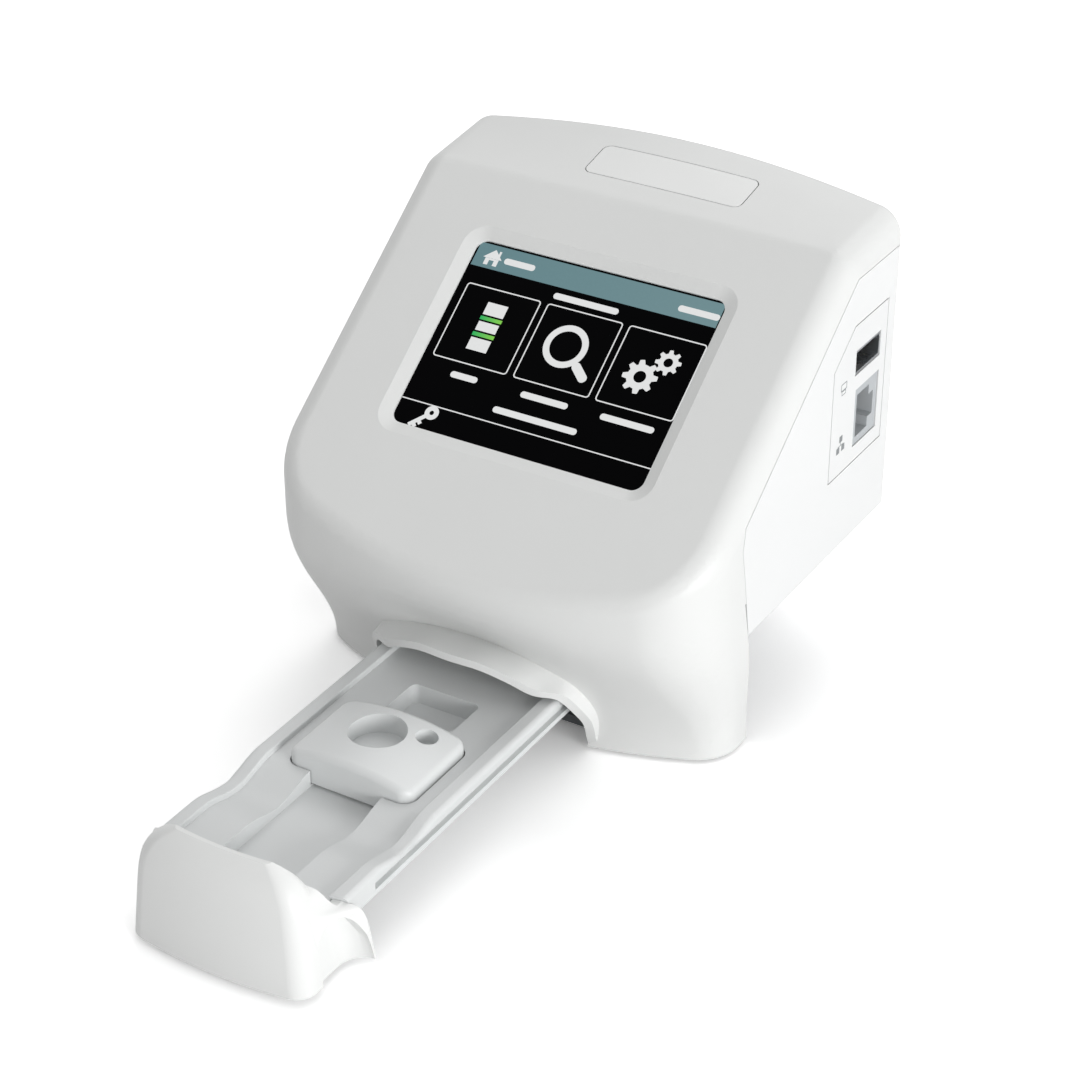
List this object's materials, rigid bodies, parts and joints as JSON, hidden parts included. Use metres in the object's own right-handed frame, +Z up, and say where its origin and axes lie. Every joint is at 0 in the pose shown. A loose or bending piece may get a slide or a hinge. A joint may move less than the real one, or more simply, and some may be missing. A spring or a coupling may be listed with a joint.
{
  "type": "rapid test reader",
  "caption": "Desktop reader with a sloping touch screen and a sliding drawer that carries a test cassette under a camera.",
  "frame": {"origin": "on the desk, at the middle of the underside of the front foot strip, on the reader's middle plane", "axes": "+X to the user's right, +Y away from the user along the drawer's slide, +Z up"},
  "size_m": [0.1234, 0.2126, 0.1214],
  "materials": {
    "shell_grey": "fine satin moulded",
    "shell_white": "fine satin moulded",
    "drawer_grey": "fine satin moulded",
    "label_film": "satin film",
    "port_white": "fine satin moulded",
    "socket_grey": "moulded",
    "socket_dark": "moulded",
    "contact_gold": "gold plated",
    "steel": "sheet and screws, zinc plated",
    "screen_glass": "black printed touch glass",
    "lcd_metal": "back shell of the display",
    "foam": "foam tape",
    "board_green": "solder mask",
    "chip_black": "moulded packages",
    "optics_black": "matt light-tight moulding",
    "clear_window": "clear window",
    "led_white": "LED packages",
    "lens_glass": "coated lens",
    "guide_acetal": "acetal",
    "chassis_grey": "structural moulding",
    "foot_rubber": "soft pads",
    "magnet_metal": "nickel-plated magnet",
    "cable_white": "flat flexible cable"
  },
  "bodies": {
    "reader": {"beeper": "chip_black", "board_chips": "chip_black", "board_screws": "steel", "camera_board": "board_green", "camera_cable": "cable_white", "camera_lens": "lens_glass", "camera_screws": "steel", "camera_sensor": "chip_black", "chassis": "chassis_grey", "chassis_screws": "steel", "display_board": "board_green", "display_cable": "cable_white", "display_frame": "steel", "display_gasket": "foam", "display_screws": "steel", "front_cover": "shell_grey", "front_foot_strip": "foot_rubber", "guide_left": "guide_acetal", "guide_right": "guide_acetal", "inlet_pin": "contact_gold", "keeper_plate": "steel", "lcd_module": "lcd_metal", "led_board": "board_green", "leds": "led_white", "leg_pads": "foot_rubber", "leg_screws": "steel", "lens_barrel": "optics_black", "main_board": "board_green", "network_contacts": "contact_gold", "network_jack": "socket_grey", "optics_housing": "optics_black", "optics_screws": "steel", "optics_window": "clear_window", "port_plate": "port_white", "power_inlet": "socket_dark", "rear_feet": "foot_rubber", "rear_housing": "shell_white", "ribbon_sockets": "socket_grey", "top_label_plate": "label_film", "touch_glass": "screen_glass", "usb_contacts": "contact_gold", "usb_insulator": "socket_dark", "usb_shell": "steel"},
    "drawer": {"drawer_tray": "drawer_grey", "drawer_front": "shell_grey", "drawer_magnet": "magnet_metal", "drawer_screws": "steel"},
    "insert": {"cassette_insert": "drawer_grey"}
  },
  "joints": [
    {"name": "drawer_slide", "type": "slide", "parent": "reader", "child": "drawer", "axis": [0, 1, 0], "range_m": [0, 0.0885]},
    {"name": "insert_lift", "type": "slide", "parent": "drawer", "child": "insert", "axis": [0, 0, 1], "range_m": [0, 0.0038]}
  ]
}
